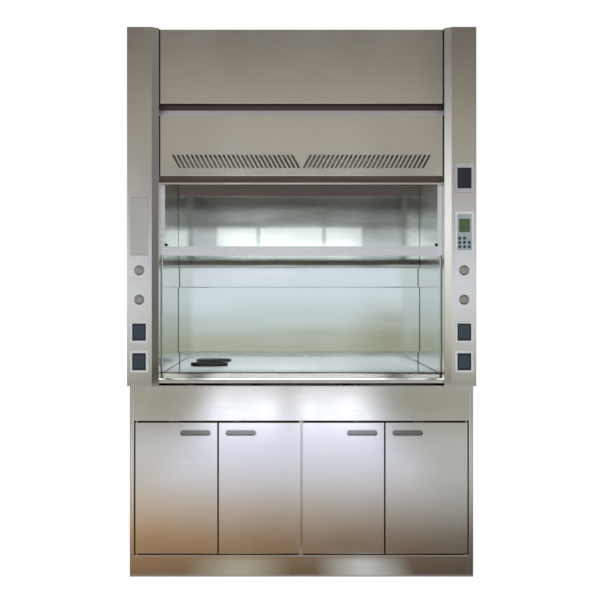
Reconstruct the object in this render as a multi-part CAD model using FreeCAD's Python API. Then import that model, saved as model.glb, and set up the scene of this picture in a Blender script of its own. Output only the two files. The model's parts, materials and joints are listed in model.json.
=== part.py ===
import FreeCAD, Part
import math
import os

Vector = FreeCAD.Vector

# Ducted fume hood with a vertical sash, standing on its cupboard base. Millimetres.
# The origin is on the floor under the middle of the footprint.
# X points right seen from the front, Y to the back and Z up.

# Overall sizes
body_width = 1500.0
body_depth = 850.0
body_height = 2374.0
worktop_height = 880.0

# Sheet metal
sheet = 1.5
bend_radius = 2.0
flange = 20.0
stiff_flange = 25.0
fit_gap = 0.3

# Front columns, and the opening and chamber between them
column_setback = 40.0
column_width = 135.0
column_face_width = 106.0
column_bevel_depth = 20.0
cap_inset = 1.2
roof_notch_gap = 5.0
chamber_step = 5.0

# Work chamber
roof_space = 194.0
chamber_rear_gap = 116.0
worktop_rear_lap = 21.0
worktop_front_drop = 34.0
baffle_space = 53.0
baffle_side_gap = 2.0
bottom_slot = 54.0
lower_baffle_height = 331.0
middle_slot = 100.0
top_slot = 40.0
upper_baffle_reach = 216.0
upper_baffle_climb = 420.0
standoff_radius = 8.0
standoff_side_inset = 110.0
standoff_inset = 60.0

# Fascia panels above the opening, counted down from the top
upper_fascia_height = 320.5
groove_bevel_height = 24.5
groove_rise = 28.0
groove_depth = 25.0
groove_lip = 6.5
lower_face_height = 260.0
fascia_bevel_height = 28.0
fascia_bevel_depth = 23.0
fascia_lip = 7.0
slot_count = 27
slot_width = 6.5
slot_foot_margin = 35.0
slot_height = 54.0
slot_lean = 29.5
slot_middle_margin = 40.7
slot_side_margin = 59.5

# Airfoil sill in front of the worktop, as steps forward and down from its rear edge
sill_air_gap = 4.0
sill_space = 3.0
sill_top_run = 50.0
sill_top_fall = 21.0
sill_edge_run = 10.0
sill_edge_fall = 8.0
sill_nose_run = 2.0
sill_nose_fall = 12.0
sill_hem_run = 8.0
sill_hem_fall = 5.0
sill_rib = 3.0
sill_rib_inset = 55.0

# Cup sink in the worktop
sink_side_room = 199.0
sink_rear_room = 86.0
sink_length = 184.0
sink_width = 110.0
sink_rim_height = 8.0
sink_rim = 10.0
sink_wall = 3.0
sink_depth = 120.0
sink_taper = 18.0
drain_radius = 20.0
drain_wall = 3.0
drain_length = 65.0
cutout_gap = 2.0

# Bearers between the base and the worktop
worktop_rise = 48.0
bearer_width = 40.0
bearer_side_inset = 45.0
bearer_front_inset = 23.0
bearer_rear_inset = 9.0

# Exhaust collar and the cable hole in the roof
collar_radius = 125.0
collar_flange = 25.0
collar_rise = 100.0
collar_rear_gap = 260.0
collar_gap = 3.0
cable_hole_radius = 16.0
cable_hole_inset = 150.0
cable_hole_rear_gap = 125.0

# Light over the chamber
lamp_end_inset = 60.0
lamp_window = 160.0
lamp_front_gap = 183.0
lamp_height = 78.0
lamp_side_room = 30.0
pane_lap = 10.0
pane_thickness = 6.0

# Sash and its guides
sash_lap = 25.0
sash_opening = 516.0
sash_sill_gap = 2.0
sash_fascia_lap = 39.0
sash_up = 90.0
sash_stile = 42.0
sash_bottom_rail = 41.5
sash_top_rail = 30.0
sash_thickness = 24.0
sash_fascia_gap = 3.5
glass_thickness = 6.0
glass_bite = 9.0
glass_gap = 0.2
guide_gap = 1.0
guide_side_gap = 3.0
guide_thickness = 2.0
guide_lap = 27.0
guide_top_gap = 30.0
guide_foot = 18.0
grip_height = 14.0
grip_depth = 7.0
corner_block = 12.0
lug_height = 20.0
lug_thickness = 8.0
lug_rise = 94.0
lug_reach = 7.0
lug_slot_gap = 2.0
lug_slot_margin = 20.0

# Counterweight, cable and sheave on each side
cable_radius = 2.0
cable_offset = 25.0
sheave_radius = 55.0
sheave_drop = 80.0
sheave_width = 12.0
sheave_rim = 4.0
sheave_groove_width = 5.2
sheave_mouth_width = 8.0
sheave_hub_radius = 16.0
sheave_rim_depth = 10.0
sheave_web = 6.0
axle_radius = 6.0
axle_gap = 0.05
axle_head = 3.0
axle_head_length = 4.0
bracket_thickness = 3.0
bracket_gap = 0.5
bracket_length = 60.0
bracket_foot = 28.0
weight_width = 50.0
weight_depth = 80.0
weight_height = 385.0
weight_hang = 590.0
weight_chamfer = 4.0

# Services in the columns, stacked upwards from the worktop
device_gap = 0.5
socket_rise = 11.0
socket_spacing = 33.0
cap_spacing = 82.0
cap_socket_gap = 70.0
cover_cap_gap = 42.0
controller_cap_gap = 52.0
monitor_gap = 82.0
cap_radius = 22.0
cap_thickness = 7.0
cap_edge = 1.5
cap_shoulder = 0.7
cap_stem_radius = 17.5
cap_stem_length = 14.0
socket_frame_size = (79.0, 94.0)
socket_face_size = (59.0, 74.0)
socket_frame_thickness = 4.0
socket_face_recess = 1.5
socket_depth = 40.0
pin_slot_size = (2.2, 8.0)
pin_slot_depth = 12.0
pin_slot_spread = 7.9
pin_slot_rise = 6.0
pin_slot_tilt = 30.0
earth_slot_drop = 10.0
cover_size = (77.0, 249.5)
cover_thickness = 2.0
cover_box_margin = 8.0
monitor_size = (80.0, 126.0)
monitor_thickness = 6.0
monitor_window_size = (61.0, 89.0)
monitor_window_drop = 2.0
monitor_depth = 30.0
window_recess = 1.0
window_thickness = 3.0
controller_size = (79.0, 178.0)
controller_thickness = 8.0
controller_depth = 25.0
screen_size = (47.0, 57.0)
screen_rise = 29.0
screen_recess = 0.8
screen_thickness = 2.5
key_radius = 6.5
key_gap = 0.3
key_pitch_x = 20.5
key_pitch_z = 18.0
key_screen_gap = 20.0
key_proud = 1.5
key_length = 8.2
key_travel = 1.0
key_bottom_gap = 0.3
edge_rounding = 1.5

# Cupboard base
base_inset = 5.0
base_rear_gap = 25.0
base_strip = 20.0
strip_return = 19.0
foot_flange = 45.0
plinth_height = 96.0
apron_height = 155.0
apron_shelf = 40.0
door_foot_gap = 6.0
door_head_gap = 6.0
door_edge_gap = 4.5
door_gap = 5.0
door_thickness = 20.0
door_hem = 12.0
door_rounding = 2.0
partition_width = 24.0
partition_shelf_gap = 5.0
pull_length = 132.0
pull_height = 23.0
pull_depth = 14.5
pull_inset = 30.0
pull_drop = 45.0
pull_rim = 3.0
pull_rim_rise = 1.2
pin_radius = 3.0
pin_gap = 0.05
pin_inset = 6.0
pin_root = 12.0
pin_head_reach = 5.0
pin_foot_reach = 1.0
catch_width = 36.0
catch_depth = 14.5
catch_gap = 0.5
catch_lap = 6.0
catch_inset = 8.0

# Planes and lines worked out from the sizes above
half_width = body_width / 2
front_y = -body_depth / 2
rear_y = body_depth / 2
fascia_y = front_y + column_setback
opening_half = half_width - column_width
bevel_y = front_y + column_bevel_depth
chamber_half = opening_half - chamber_step
base_height = worktop_height - worktop_rise
chamber_top = body_height - roof_space
chamber_rear = rear_y - chamber_rear_gap
baffle_y = chamber_rear - baffle_space
baffle_half = chamber_half - baffle_side_gap
lower_baffle_low = worktop_height + bottom_slot
lower_baffle_high = lower_baffle_low + lower_baffle_height
upper_baffle_low = lower_baffle_high + middle_slot
upper_baffle_high = chamber_top - top_slot
upper_baffle_knee = upper_baffle_high - upper_baffle_climb
standoff_spread = chamber_half - standoff_side_inset

groove_top = body_height - upper_fascia_height
groove_middle = groove_top - groove_bevel_height
groove_bottom = groove_middle - groove_rise
fascia_foot = groove_bottom - lower_face_height
fascia_edge = fascia_foot - fascia_bevel_height - fascia_lip
slot_bottom = fascia_foot + slot_foot_margin
slot_pitch = (opening_half - slot_side_margin - slot_middle_margin) / (slot_count - 1)

sash_y = fascia_y + groove_depth + groove_lip + sash_fascia_gap + sash_thickness / 2
sash_front = sash_y - sash_thickness / 2
sash_rear = sash_y + sash_thickness / 2
sash_half_width = opening_half + sash_lap
sash_window_half = sash_half_width - sash_stile
sash_down = sash_opening - sill_air_gap - sash_sill_gap
sash_bottom = worktop_height + sash_opening
sash_top = fascia_edge + sash_fascia_lap + sash_down
guide_front = sash_front - guide_gap - guide_thickness
guide_rear = sash_rear + guide_gap + guide_thickness
guide_outer = sash_half_width + guide_side_gap + guide_thickness
guide_top = body_height - guide_top_gap
worktop_front = guide_rear
lug_bottom = sash_bottom + lug_rise
lug_top = lug_bottom + lug_height

cable_x = sash_half_width + cable_offset
sheave_y = sash_y + sheave_radius
sheave_height = body_height - sheave_drop
weight_y = sash_y + 2 * sheave_radius
weight_top = sheave_height - weight_hang

sink_x = -guide_outer + sink_side_room
sink_y = baffle_y - sink_rear_room
bearer_outer = guide_outer - bearer_side_inset
bearer_places = (-bearer_outer, -bearer_outer / 3, bearer_outer / 3, bearer_outer)
rib_outer = opening_half - sill_rib_inset
sill_rib_places = (-rib_outer, -rib_outer / 3, rib_outer / 3, rib_outer)
collar_y = rear_y - collar_rear_gap
cable_hole_x = half_width - cable_hole_inset
cable_hole_y = rear_y - cable_hole_rear_gap
lamp_length = 2 * (chamber_half - lamp_end_inset)
lamp_y = guide_rear + lamp_front_gap

device_x = half_width - column_face_width / 2
first_socket = worktop_height + socket_rise + socket_frame_size[1] / 2
second_socket = first_socket + socket_frame_size[1] + socket_spacing
first_cap = second_socket + socket_frame_size[1] / 2 + cap_socket_gap + cap_radius
second_cap = first_cap + 2 * cap_radius + cap_spacing
socket_heights = (first_socket, second_socket)
cap_heights = (first_cap, second_cap)
cover_height = second_cap + cap_radius + cover_cap_gap + cover_size[1] / 2
controller_height = second_cap + cap_radius + controller_cap_gap + controller_size[1] / 2
monitor_height = controller_height + controller_size[1] / 2 + monitor_gap + monitor_size[1] / 2
window_height = monitor_height - monitor_window_drop
controller_front = front_y - controller_thickness
screen_height = controller_height + screen_rise
first_key_row = screen_height - screen_size[1] / 2 - key_screen_gap - key_radius

base_half = half_width - base_inset
base_rear = rear_y - base_rear_gap
strip_inner = base_half - base_strip
apron_bottom = base_height - apron_height
door_span = 2 * (strip_inner - door_edge_gap)
door_width = (door_span - 3 * door_gap) / 4
door_bottom = plinth_height + door_foot_gap
door_top = apron_bottom - door_head_gap
door_rear = fascia_y + door_thickness
hinge_y = fascia_y + pin_inset


def place(axis, pair, along):
    """Point of a section, drawn across the axis, at a distance along it."""
    if axis == "x":
        return Vector(along, pair[0], pair[1])
    if axis == "y":
        return Vector(pair[0], along, pair[1])
    return Vector(pair[0], pair[1], along)


def direction(axis, length):
    """Vector of a length along the axis."""
    return place(axis, (0, 0), length)


def block(x_range, y_range, z_range):
    """Box between two values on each axis."""
    sizes = [high - low for low, high in (x_range, y_range, z_range)]
    corner = Vector(x_range[0], y_range[0], z_range[0])
    return Part.makeBox(sizes[0], sizes[1], sizes[2], corner)


def prism(points, axis, start, end):
    """Solid with a polygon section across the axis."""
    corners = [place(axis, pair, start) for pair in points]
    outline = Part.makePolygon(corners + corners[:1])
    return Part.Face(outline).extrude(direction(axis, end - start))


def bends(points, thickness, inner_radius):
    """Start, middle and end of each bend, on the drawn face and on the face to its left."""
    drawn = []
    other = []
    for before, corner, after in zip(points, points[1:], points[2:]):
        way_in = (Vector(corner[0], corner[1], 0) - Vector(before[0], before[1], 0)).normalize()
        way_out = (Vector(after[0], after[1], 0) - Vector(corner[0], corner[1], 0)).normalize()
        turn = math.atan2(way_in.cross(way_out).z, way_in.dot(way_out))
        side = math.copysign(1, turn)
        drawn_radius = inner_radius + (thickness if turn > 0 else 0)
        other_radius = drawn_radius - side * thickness
        left_in = Vector(-way_in.y, way_in.x, 0)
        left_out = Vector(-way_out.y, way_out.x, 0)
        left_middle = (left_in + left_out).normalize()
        run_up = drawn_radius * math.tan(abs(turn) / 2)
        centre = Vector(corner[0], corner[1], 0) - way_in * run_up + left_in * side * drawn_radius
        for face, radius in ((drawn, drawn_radius), (other, other_radius)):
            face.append([centre - left * side * radius for left in (left_in, left_middle, left_out)])
    return drawn, other


def face_edges(axis, along, start, arcs, end):
    """Lines and arcs along one face of a folded sheet."""
    edges = []
    last = start
    for arc in arcs:
        first, middle, final = [place(axis, (point.x, point.y), along) for point in arc]
        edges.append(Part.makeLine(last, first))
        edges.append(Part.Arc(first, middle, final).toShape())
        last = final
    edges.append(Part.makeLine(last, end))
    return edges


def folded_section(points, axis, along, thickness):
    """Face of a sheet folded along the points, its thickness on their left."""
    drawn, other = bends(points, thickness, bend_radius)
    caps = []
    for near, far in ((points[0], points[1]), (points[-2], points[-1])):
        way = (Vector(far[0], far[1], 0) - Vector(near[0], near[1], 0)).normalize()
        caps.append(Vector(-way.y, way.x, 0) * thickness)
    start = place(axis, points[0], along)
    end = place(axis, points[-1], along)
    other_start = place(axis, (points[0][0] + caps[0].x, points[0][1] + caps[0].y), along)
    other_end = place(axis, (points[-1][0] + caps[1].x, points[-1][1] + caps[1].y), along)
    edges = face_edges(axis, along, start, drawn, end)
    edges += face_edges(axis, along, other_start, other, other_end)
    edges += [Part.makeLine(start, other_start), Part.makeLine(end, other_end)]
    return Part.Face(Part.Wire(Part.__sortEdges__(edges)))


def folded_sheet(points, axis, start, end, thickness=sheet):
    """Sheet folded along the points and drawn out along the axis."""
    section = folded_section(points, axis, start, thickness)
    return section.extrude(direction(axis, end - start))


def mirrored(shape):
    """The same piece on the other side of the hood."""
    return shape.mirror(Vector(0, 0, 0), Vector(1, 0, 0))


def joined(first, others):
    """Pieces of one part welded into one solid."""
    return first.fuse(others).removeSplitter()


def oblong_face(length, height, centre, axis):
    """Face with straight sides and round ends, across the axis."""
    radius = height / 2
    straight = (length - height) / 2
    corners = [(-straight, -radius), (straight, -radius), (straight, radius), (-straight, radius)]
    tips = [(straight + radius, 0), (-straight - radius, 0)]
    along = {"x": centre.x, "y": centre.y, "z": centre.z}[axis]
    middle = {"x": (centre.y, centre.z), "y": (centre.x, centre.z), "z": (centre.x, centre.y)}[axis]

    def point(pair):
        return place(axis, (middle[0] + pair[0], middle[1] + pair[1]), along)

    edges = [
        Part.makeLine(point(corners[0]), point(corners[1])),
        Part.Arc(point(corners[1]), point(tips[0]), point(corners[2])).toShape(),
        Part.makeLine(point(corners[2]), point(corners[3])),
        Part.Arc(point(corners[3]), point(tips[1]), point(corners[0])).toShape(),
    ]
    return Part.Face(Part.Wire(edges))


def oblong(length, height, centre, axis, depth):
    """Solid with straight sides and round ends."""
    return oblong_face(length, height, centre, axis).extrude(direction(axis, depth))


def rounded_edges(shape, radius, picks):
    """Round the edges whose middle the test picks."""
    return shape.makeFillet(radius, [edge for edge in shape.Edges if picks(edge.CenterOfMass)])


def bevel_edges(shape, size, picks):
    """Bevel the edges whose middle the test picks."""
    return shape.makeChamfer(size, [edge for edge in shape.Edges if picks(edge.CenterOfMass)])


# Outer casing

def side_panel():
    """Left side, with flanges to the column, to the rear panel and onto the base."""
    rear_face = rear_y - sheet
    outline = [
        (-half_width + flange, rear_face),
        (-half_width, rear_face),
        (-half_width, fascia_y),
        (-half_width + flange, fascia_y),
    ]
    panel = folded_sheet(outline, "z", base_height, body_height)
    foot = block(
        (-half_width + sheet, -base_half + foot_flange),
        (fascia_y + sheet, rear_face - sheet),
        (base_height, base_height + sheet),
    )
    return joined(panel, [foot])


def rear_panel():
    """Back sheet over the flanges of both sides."""
    return block((-half_width, half_width), (rear_y - sheet, rear_y), (base_height, body_height))


def roof_panel():
    """Roof pan between the sides, with the collar and cable holes."""
    rear_face = rear_y - 2 * sheet
    outline = [
        (rear_face, body_height - stiff_flange),
        (rear_face, body_height),
        (fascia_y + sheet, body_height),
        (fascia_y + sheet, body_height - stiff_flange),
    ]
    inner_half = half_width - sheet - bend_radius
    roof = folded_sheet(outline, "x", -inner_half, inner_half)
    holes = [
        Part.makeCylinder(collar_radius + collar_gap, body_height, Vector(0, collar_y, chamber_top)),
        Part.makeCylinder(cable_hole_radius, body_height, Vector(cable_hole_x, cable_hole_y, chamber_top)),
    ]
    return roof.cut(holes)


def exhaust_collar():
    """Round duct collar up through the roof, its flange on the roof and a thicker stub below."""
    inner = collar_radius - sheet
    stub = collar_radius + sheet
    outline = [
        (inner, chamber_top + sheet),
        (stub, chamber_top + sheet),
        (stub, body_height),
        (collar_radius + collar_flange, body_height),
        (collar_radius + collar_flange, body_height + sheet),
        (collar_radius, body_height + sheet),
        (collar_radius, body_height + collar_rise),
        (inner, body_height + collar_rise),
    ]
    corners = [Vector(radius, 0, z) for radius, z in outline]
    section = Part.Face(Part.makePolygon(corners + corners[:1]))
    collar = section.revolve(Vector(0, 0, 0), Vector(0, 0, 1), 360)
    return collar.translate(Vector(0, collar_y, 0))


def column_shell():
    """Left column: face, bevel, reveal, and the flange that carries the sash guide."""
    inner_face = half_width - column_face_width
    outline = [
        (-half_width + flange, fascia_y),
        (-half_width, fascia_y),
        (-half_width, front_y),
        (-inner_face, front_y),
        (-opening_half, bevel_y),
        (-opening_half, guide_front),
        (-guide_outer, guide_front),
    ]
    shell = folded_sheet(outline, "z", base_height, body_height)
    cap_outline = [
        (-half_width + cap_inset, fascia_y - cap_inset),
        (-half_width + cap_inset, front_y + cap_inset),
        (-inner_face - cap_inset, front_y + cap_inset),
        (-opening_half - cap_inset, bevel_y),
        (-opening_half - cap_inset, fascia_y - cap_inset),
    ]
    caps = [
        prism(cap_outline, "z", base_height, base_height + sheet),
        prism(cap_outline, "z", body_height - sheet, body_height),
    ]
    roof_room = block(
        (-guide_outer - flange, -opening_half + flange),
        (fascia_y + sheet, guide_front + flange),
        (body_height - stiff_flange - roof_notch_gap, body_height),
    )
    return joined(shell, caps).cut(roof_room)


def face_hole(x, z, size):
    """Rectangular hole through a column's face."""
    return block(
        (x - size[0] / 2, x + size[0] / 2),
        (front_y - sheet, front_y + 2 * sheet),
        (z - size[1] / 2, z + size[1] / 2),
    )


def inset(size, margin):
    """A width and height smaller by the margin on every side."""
    return (size[0] - 2 * margin, size[1] - 2 * margin)


def service_holes():
    """Holes that both columns have: two for caps and two for sockets."""
    holes = []
    for z in cap_heights:
        centre = Vector(-device_x, front_y - sheet, z)
        radius = cap_stem_radius + device_gap
        holes.append(Part.makeCylinder(radius, 3 * sheet, centre, Vector(0, 1, 0)))
    for z in socket_heights:
        holes.append(face_hole(-device_x, z, inset(socket_face_size, -device_gap)))
    return holes


def left_column():
    """Column with a blank service cover."""
    cover_hole = face_hole(-device_x, cover_height, inset(cover_size, cover_box_margin - device_gap))
    return column_shell().cut(service_holes() + [cover_hole])


def right_column():
    """Column with the monitor and the controller."""
    monitor_hole = face_hole(device_x, monitor_height, inset(monitor_size, cover_box_margin - device_gap))
    controller_hole = face_hole(
        device_x, controller_height, inset(controller_size, cover_box_margin - device_gap)
    )
    return mirrored(column_shell().cut(service_holes())).cut([monitor_hole, controller_hole])


# Fascia and sill

def upper_fascia():
    """Plain front panel above the groove."""
    outline = [
        (fascia_y, body_height),
        (fascia_y, groove_top),
        (fascia_y + groove_depth, groove_middle),
        (fascia_y + groove_depth + groove_lip, groove_middle),
    ]
    return folded_sheet(outline, "x", -opening_half, opening_half)


def slot_cutter(x_top):
    """One slanted slot of the left group, its upper end further from the middle."""
    half = slot_width / 2 / math.sin(math.atan2(slot_height, slot_lean))
    x_foot = x_top + slot_lean
    outline = [
        (x_top - half, slot_bottom + slot_height),
        (x_top + half, slot_bottom + slot_height),
        (x_foot + half, slot_bottom),
        (x_foot - half, slot_bottom),
    ]
    return prism(outline, "y", fascia_y - sheet, fascia_y + 2 * sheet)


def lower_fascia():
    """Front panel with the two groups of slanted bypass slots."""
    outline = [
        (fascia_y + groove_depth + groove_lip, groove_middle),
        (fascia_y + groove_depth, groove_middle),
        (fascia_y, groove_bottom),
        (fascia_y, fascia_foot),
        (fascia_y + fascia_bevel_depth, fascia_foot - fascia_bevel_height),
        (fascia_y + fascia_bevel_depth, fascia_foot - fascia_bevel_height - fascia_lip),
    ]
    panel = folded_sheet(outline, "x", -opening_half, opening_half)
    slots = [slot_cutter(-slot_middle_margin - slot_pitch * number) for number in range(slot_count)]
    return panel.cut(slots + [mirrored(slot) for slot in slots])


def sill_outline():
    """Section of the airfoil sill from its rear edge over the nose to the hem."""
    steps = [
        (sill_top_run, sill_top_fall),
        (sill_edge_run, sill_edge_fall),
        (sill_nose_run, sill_nose_fall),
        (-sill_hem_run, sill_hem_fall),
    ]
    points = [(worktop_front - sill_space, worktop_height + sill_air_gap)]
    for run, fall in steps:
        points.append((points[-1][0] - run, points[-1][1] - fall))
    return points


def airfoil_sill():
    """Folded foil on ribs, with an air gap below its nose and behind its rear edge."""
    outline = sill_outline()
    sill_half = opening_half - fit_gap
    foil = folded_sheet(outline, "x", -sill_half, sill_half)
    under = [(y, z - sheet / 2) for y, z in outline[:3]]
    rib_outline = [
        (worktop_front, under[2][1]),
        (worktop_front, worktop_height - sheet),
    ] + under
    ribs = [
        prism(rib_outline, "x", x - sill_rib / 2, x + sill_rib / 2)
        for x in sill_rib_places
    ]
    return joined(foil, ribs)


# Work chamber

def side_liner():
    """Left wall of the chamber, with the flange behind the sash guide."""
    outline = [
        (-chamber_half, chamber_rear),
        (-chamber_half, guide_rear),
        (-guide_outer, guide_rear),
    ]
    outline.reverse()
    return folded_sheet(outline, "z", worktop_height, chamber_top)


def rear_liner():
    """Rear wall of the chamber."""
    return block(
        (-guide_outer, guide_outer),
        (chamber_rear, chamber_rear + sheet),
        (worktop_height, chamber_top),
    )


def ceiling_liner():
    """Ceiling of the chamber, with the exhaust hole and the lamp window."""
    outline = [
        (guide_rear + sheet, chamber_top + stiff_flange),
        (guide_rear + sheet, chamber_top),
        (chamber_rear + sheet, chamber_top),
    ]
    ceiling_half = chamber_half + flange
    ceiling = folded_sheet(outline, "x", -ceiling_half, ceiling_half)
    collar_hole = Part.makeCylinder(
        collar_radius - sheet, 4 * sheet, Vector(0, collar_y, chamber_top - sheet)
    )
    window = block(
        (-lamp_length / 2, lamp_length / 2),
        (lamp_y - lamp_window / 2, lamp_y + lamp_window / 2),
        (chamber_top - sheet, chamber_top + 2 * sheet),
    )
    return ceiling.cut([collar_hole, window])


def light_diffuser():
    """Pane over the lamp window, lying on the ceiling."""
    half_length = lamp_length / 2 + pane_lap
    half_depth = lamp_window / 2 + pane_lap
    return block(
        (-half_length, half_length),
        (lamp_y - half_depth, lamp_y + half_depth),
        (chamber_top + sheet, chamber_top + sheet + pane_thickness),
    )


def luminaire():
    """Lamp housing over the pane, with closed ends."""
    foot = chamber_top + sheet
    front = lamp_y - lamp_window / 2 - lamp_side_room
    rear = lamp_y + lamp_window / 2 + lamp_side_room
    outline = [
        (front - flange, foot),
        (front, foot),
        (front, foot + lamp_height),
        (rear, foot + lamp_height),
        (rear, foot),
        (rear + flange, foot),
    ]
    half_length = lamp_length / 2 + lamp_side_room
    housing = folded_sheet(outline, "x", -half_length, half_length)
    ends = [
        block((x - sheet / 2, x + sheet / 2), (front - sheet, rear + sheet), (foot, foot + lamp_height))
        for x in (-half_length + sheet, half_length - sheet)
    ]
    return joined(housing, ends)


def lower_baffle():
    """Baffle above the bottom slot, with stiffening flanges."""
    outline = [
        (baffle_y + flange, lower_baffle_high),
        (baffle_y, lower_baffle_high),
        (baffle_y, lower_baffle_low),
        (baffle_y + flange, lower_baffle_low),
    ]
    return folded_sheet(outline, "x", -baffle_half, baffle_half)


def upper_baffle():
    """Baffle above the middle slot, leaning forward at the top."""
    outline = [
        (baffle_y - upper_baffle_reach, upper_baffle_high),
        (baffle_y, upper_baffle_knee),
        (baffle_y, upper_baffle_low),
        (baffle_y + flange, upper_baffle_low),
    ]
    return folded_sheet(outline, "x", -baffle_half, baffle_half)


def baffle_standoffs():
    """Eight studs that hold the baffles off the rear wall."""
    heights = [
        lower_baffle_low + standoff_inset,
        lower_baffle_high - standoff_inset,
        upper_baffle_low + standoff_inset,
        upper_baffle_knee - standoff_inset,
    ]
    start = baffle_y + sheet
    studs = []
    for z in heights:
        for x in (-standoff_spread, standoff_spread):
            foot = Vector(x, start, z)
            stud = Part.makeCylinder(standoff_radius, chamber_rear - start, foot, Vector(0, 1, 0))
            studs.append(stud)
    return Part.Compound(studs)


def sink_section(height, margin):
    """Outline of the cup sink at a height, smaller by the margin on every side."""
    length = sink_length - 2 * margin
    width = sink_width - 2 * margin
    return oblong_face(length, width, Vector(sink_x, sink_y, height), "z").OuterWire


def sink_hole(low, high):
    """Hole that the bowl of the cup sink passes through."""
    margin = sink_rim - cutout_gap
    centre = Vector(sink_x, sink_y, low)
    return oblong(sink_length - 2 * margin, sink_width - 2 * margin, centre, "z", high - low)


def worktop():
    """Folded worktop with the hole for the cup sink."""
    outline = [
        (chamber_rear + worktop_rear_lap, worktop_height - worktop_front_drop),
        (chamber_rear + worktop_rear_lap, worktop_height),
        (worktop_front, worktop_height),
        (worktop_front, worktop_height - worktop_front_drop),
    ]
    top = folded_sheet(outline, "x", -guide_outer, guide_outer)
    return top.cut(sink_hole(worktop_height - 2 * sheet, worktop_height + sheet))


def worktop_bearers():
    """Four channels between the base and the worktop."""
    top = worktop_height - sheet
    start = worktop_front + bearer_front_inset
    end = chamber_rear - bearer_rear_inset
    channels = []
    for x in bearer_places:
        outline = [
            (x + bearer_width / 2, base_height),
            (x + bearer_width / 2, top),
            (x - bearer_width / 2, top),
            (x - bearer_width / 2, base_height),
        ]
        channels.append(folded_sheet(outline, "y", start, end))
    return Part.Compound(channels)


def cup_sink():
    """Tapered bowl with a raised rim and a drain spigot."""
    floor = worktop_height - sink_depth
    rim = oblong(sink_length, sink_width, Vector(sink_x, sink_y, worktop_height), "z", sink_rim_height)
    rim = bevel_edges(rim, edge_rounding, lambda middle: middle.z > worktop_height + sink_rim_height - 0.1)
    top_height = worktop_height + sink_rim_height / 2
    bowl = Part.makeLoft(
        [sink_section(floor, sink_rim + sink_taper), sink_section(top_height, sink_rim)], True
    )
    hollow = Part.makeLoft(
        [
            sink_section(floor + sink_wall, sink_rim + sink_taper + sink_wall),
            sink_section(worktop_height + sink_rim_height, sink_rim + sink_wall),
        ],
        True,
    )
    drain_foot = Vector(sink_x, sink_y, floor - drain_length)
    drain = Part.makeCylinder(drain_radius, drain_length + sink_wall, drain_foot)
    drain_bore = Part.makeCylinder(drain_radius - drain_wall, drain_length + 3 * sink_wall, drain_foot)
    return joined(rim, [bowl, drain]).cut([hollow, drain_bore])


# Sash, guides, cables and weights

def sash_guide():
    """Left guide channel with the slot that the cable lug runs in."""
    inner = guide_outer - guide_lap
    outline = [
        (-inner, guide_rear),
        (-guide_outer, guide_rear),
        (-guide_outer, guide_front),
        (-inner, guide_front),
    ]
    foot = base_height + guide_foot
    channel = folded_sheet(outline, "z", foot, guide_top, guide_thickness)
    slot_half = lug_thickness / 2 + lug_slot_gap
    slot = block(
        (-guide_outer - guide_thickness, -sash_half_width),
        (sash_y - slot_half, sash_y + slot_half),
        (lug_bottom - sash_down - lug_slot_margin, lug_top + sash_up + lug_slot_margin),
    )
    return channel.cut(slot)


def sash_frame():
    """Sash frame with its lift grip, glass groove and a cable lug on each stile."""
    half = sash_window_half
    body = block((-sash_half_width, sash_half_width), (sash_front, sash_rear), (sash_bottom, sash_top))
    window_low = sash_bottom + sash_bottom_rail
    window_high = sash_top - sash_top_rail
    window = block((-half, half), (sash_front, sash_rear), (window_low, window_high))
    bite = glass_bite + glass_gap
    groove = block(
        (-half - bite, half + bite),
        (sash_y - glass_thickness / 2 - glass_gap, sash_y + glass_thickness / 2 + glass_gap),
        (window_low - bite, window_high + bite),
    )
    grip_middle = sash_bottom + sash_bottom_rail / 2
    grip = block(
        (-half, half),
        (sash_front, sash_front + grip_depth),
        (grip_middle - grip_height / 2, grip_middle + grip_height / 2),
    )
    lug = block(
        (-cable_x - lug_reach, -sash_half_width),
        (sash_y - lug_thickness / 2, sash_y + lug_thickness / 2),
        (lug_bottom, lug_top),
    )
    return joined(body.cut([window, groove, grip]), [lug, mirrored(lug)])


def sash_glass():
    """Safety glass seated in the groove of the frame."""
    half = sash_window_half + glass_bite
    low = sash_bottom + sash_bottom_rail - glass_bite
    high = sash_top - sash_top_rail + glass_bite
    return block((-half, half), (sash_y - glass_thickness / 2, sash_y + glass_thickness / 2), (low, high))


def sash_corner_blocks():
    """Two stop buffers in the lower corners of the glass."""
    low = sash_bottom + sash_bottom_rail
    buffer = block(
        (-sash_window_half, -sash_window_half + corner_block),
        (sash_front, sash_y - glass_thickness / 2),
        (low, low + corner_block),
    )
    buffer = bevel_edges(buffer, edge_rounding, lambda middle: middle.y < sash_front + 0.1)
    return Part.Compound([buffer, mirrored(buffer)])


def counterweight():
    """Steel weight that hangs from the left cable."""
    weight = block(
        (-cable_x - weight_width / 2, -cable_x + weight_width / 2),
        (weight_y - weight_depth / 2, weight_y + weight_depth / 2),
        (weight_top - weight_height, weight_top),
    )
    upright = [edge for edge in weight.Edges if abs(edge.tangentAt(edge.FirstParameter).z) > 0.9]
    return weight.makeChamfer(weight_chamfer, upright)


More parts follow.
